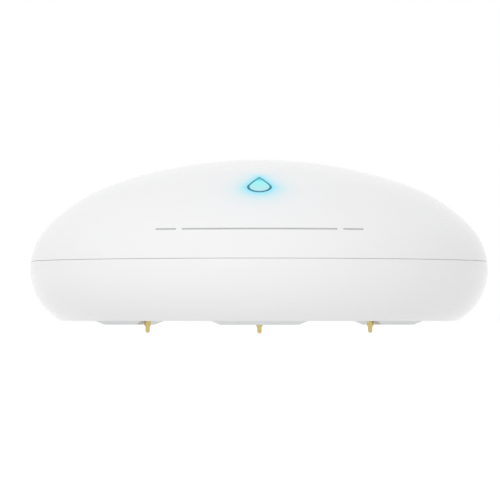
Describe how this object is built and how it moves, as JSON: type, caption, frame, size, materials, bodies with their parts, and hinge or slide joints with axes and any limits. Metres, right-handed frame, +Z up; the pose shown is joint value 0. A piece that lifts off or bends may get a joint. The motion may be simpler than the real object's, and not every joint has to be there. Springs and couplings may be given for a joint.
{
  "type": "water leak sensor",
  "caption": "Round pebble-shaped water leak sensor with a domed white cover, a lit drop window, sprung gold probes and pads underneath, and a battery and board inside.",
  "frame": {"origin": "on the casing's axis, in the plane of the extended probe tips", "axes": "+Z up along the casing's axis, -Y to the front, where the drop window and one probe are, +X to the right as seen from the front"},
  "size_m": [0.072, 0.072, 0.0273],
  "materials": {
    "casing_white": "moulded gloss white",
    "window_blue": "translucent, lit from behind",
    "seal_silicone": "matt silicone",
    "pad_white": "soft satin pad",
    "gold_plate": "gold plated, polished",
    "spring_steel": "bright steel",
    "board_green": "solder mask",
    "holder_black": "moulded satin",
    "battery_can": "plain shrink sleeve",
    "nickel_sheet": "nickel plated sheet",
    "light_white": "plain",
    "chip_black": "moulded epoxy",
    "capacitor_can": "drawn can",
    "chip_tan": "ceramic chips"
  },
  "bodies": {
    "base": {"base_shell": "casing_white", "foot_front": "pad_white", "foot_left": "pad_white", "foot_right": "pad_white", "barrel_front": "gold_plate", "barrel_left": "gold_plate", "barrel_right": "gold_plate", "spring_front": "spring_steel", "spring_left": "spring_steel", "spring_right": "spring_steel", "barrel_seals": "seal_silicone", "circuit_board": "board_green", "board_screws": "spring_steel", "battery_holder": "holder_black", "battery": "battery_can", "contact_plus": "nickel_sheet", "contact_minus": "nickel_sheet", "status_light": "light_white", "buzzer": "holder_black", "radio_board": "board_green", "radio_shield": "nickel_sheet", "antenna": "nickel_sheet", "cover_switch": "holder_black", "control_chip": "chip_black", "temperature_sensor": "chip_black", "capacitor": "capacitor_can", "small_parts": "chip_tan"},
    "seal": {"seam_seal": "seal_silicone"},
    "cover": {"top_cover": "casing_white", "drop_lens": "window_blue"},
    "probe_front": {"pin_front": "gold_plate"},
    "probe_left": {"pin_left": "gold_plate"},
    "probe_right": {"pin_right": "gold_plate"},
    "button": {"switch_button": "light_white"}
  },
  "joints": [
    {"name": "cover_lift", "type": "slide", "parent": "base", "child": "seal", "axis": [0, 0, 1], "range_m": [0, 0.04]},
    {"name": "cover_turn", "type": "hinge", "parent": "seal", "child": "cover", "pos_m": [0, 0, 0.0113], "axis": [0, 0, 1], "range_deg": [0, 360]},
    {"name": "probe_front_slide", "type": "slide", "parent": "base", "child": "probe_front", "axis": [0, 0, 1], "range_m": [0, 0.0015], "stiffness_N_per_m": 60, "springref_m": -0.0005, "deforming": ["spring_front"]},
    {"name": "probe_left_slide", "type": "slide", "parent": "base", "child": "probe_left", "axis": [0, 0, 1], "range_m": [0, 0.0015], "stiffness_N_per_m": 60, "springref_m": -0.0005, "deforming": ["spring_left"]},
    {"name": "probe_right_slide", "type": "slide", "parent": "base", "child": "probe_right", "axis": [0, 0, 1], "range_m": [0, 0.0015], "stiffness_N_per_m": 60, "springref_m": -0.0005, "deforming": ["spring_right"]},
    {"name": "button_press", "type": "slide", "parent": "base", "child": "button", "axis": [0, 0, -1], "range_m": [0, 0.00025], "stiffness_N_per_m": 2000, "springref_m": -0.0001}
  ],
  "couplings": [
    {"joint": "cover_turn", "follows": "cover_lift", "rad_per_m": 157.08}
  ]
}
